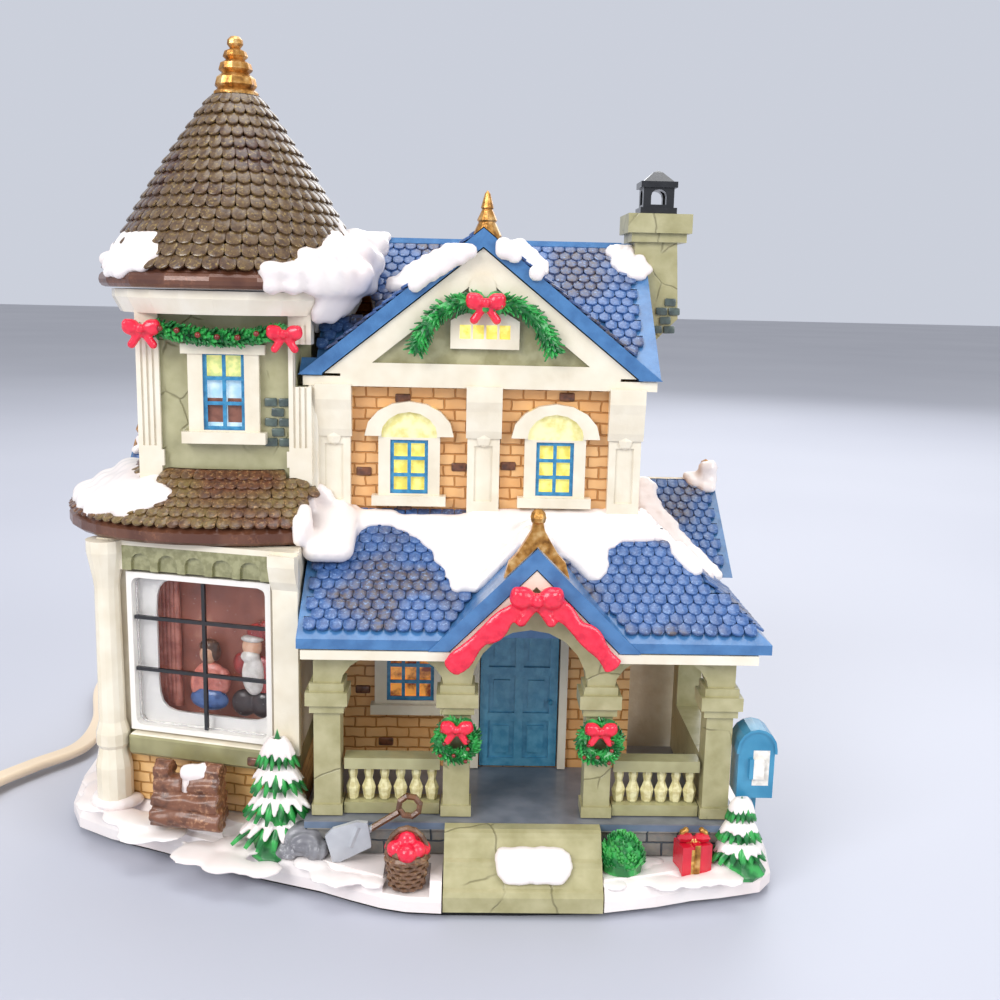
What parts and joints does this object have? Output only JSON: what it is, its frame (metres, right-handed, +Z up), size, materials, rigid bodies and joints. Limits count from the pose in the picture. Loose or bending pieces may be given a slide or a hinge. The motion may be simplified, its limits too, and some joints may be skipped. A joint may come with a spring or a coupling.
{
  "type": "christmas village house",
  "caption": "Lit porcelain village house with a round-roofed tower, covered porch, snowy yard and a clip-in lamp on a cord.",
  "frame": {"origin": "centre of the house's footprint box on the surface it stands on, measured without the cord", "axes": "+Z up, -Y towards the front with the porch, +X to the right seen from the front"},
  "size_m": [0.3012, 0.1897, 0.205],
  "materials": {
    "cream_porcelain": "glossy glaze",
    "snow_porcelain": "glossy glaze",
    "brick_porcelain": "painted, glossy",
    "sage_porcelain": "painted, glossy",
    "blue_roof": "painted, satin",
    "blue_paint": "painted, glossy",
    "bronze_roof": "painted, satin, gold highlights",
    "gold_paint": "metallic paint",
    "slate_porcelain": "painted, satin",
    "black_paint": "painted, glossy",
    "red_paint": "painted, glossy",
    "green_paint": "painted, satin",
    "bark_paint": "painted, satin",
    "felt": "felt",
    "clear_front": "clear, glossy",
    "black_bars": "glossy",
    "white_liner": "satin",
    "ivory_cord": "satin",
    "ivory_plastic": "satin",
    "clip_steel": "spring steel",
    "base_brass": "plain",
    "bulb_glass": "clear, warm"
  },
  "bodies": {
    "house": {"felt_pad": "felt", "snow_base": "snow_porcelain", "porch_plinth": "slate_porcelain", "front_steps": "sage_porcelain", "main_walls": "brick_porcelain", "front_trim": "cream_porcelain", "main_roof": "blue_roof", "gable_finial": "gold_paint", "chimney_stack": "sage_porcelain", "chimney_pot": "black_paint", "tower_lower_wall": "cream_porcelain", "tower_lower_columns": "cream_porcelain", "window_liner": "white_liner", "window_glazing": "clear_front", "window_bars": "black_bars", "window_figures": "red_paint", "skirt_roof": "bronze_roof", "tower_upper_wall": "sage_porcelain", "tower_upper_columns": "cream_porcelain", "tower_window": "cream_porcelain", "cone_roof": "bronze_roof", "tower_finial": "gold_paint", "tower_garland": "green_paint", "upper_window_left": "cream_porcelain", "upper_window_right": "cream_porcelain", "front_door": "blue_paint", "door_frame": "cream_porcelain", "porch_window": "cream_porcelain", "attic_window": "cream_porcelain", "gable_garland": "green_paint", "porch_arcade": "sage_porcelain", "porch_rail_left": "sage_porcelain", "porch_rail_right": "sage_porcelain", "porch_roof": "blue_roof", "porch_fascia": "cream_porcelain", "porch_finial": "gold_paint", "porch_ribbon": "red_paint", "wreath_left": "green_paint", "wreath_right": "green_paint", "right_bay": "cream_porcelain", "left_bay": "cream_porcelain", "log_pile": "bark_paint", "pine_left": "green_paint", "pine_right": "green_paint", "boulders": "slate_porcelain", "shovel": "cream_porcelain", "apple_basket": "bark_paint", "boxwood": "green_paint", "gift_box": "red_paint", "mailbox": "blue_paint"},
    "lamp": {"lamp_clip": "clip_steel", "lamp_socket": "ivory_plastic", "cord_grip": "ivory_plastic", "cord_lead": "ivory_cord", "cord_coil": "ivory_cord", "plug": "ivory_plastic"},
    "bulb": {"bulb": "bulb_glass", "bulb_base": "base_brass"}
  },
  "joints": [
    {"name": "lamp_slide", "type": "slide", "parent": "house", "child": "lamp", "axis": [0, 1, 0], "range_m": [0, 0.07]},
    {"name": "bulb_turn", "type": "hinge", "parent": "lamp", "child": "bulb", "pos_m": [0.0035, 0.024, 0.042], "axis": [0, 1, 0], "continuous": true}
  ]
}
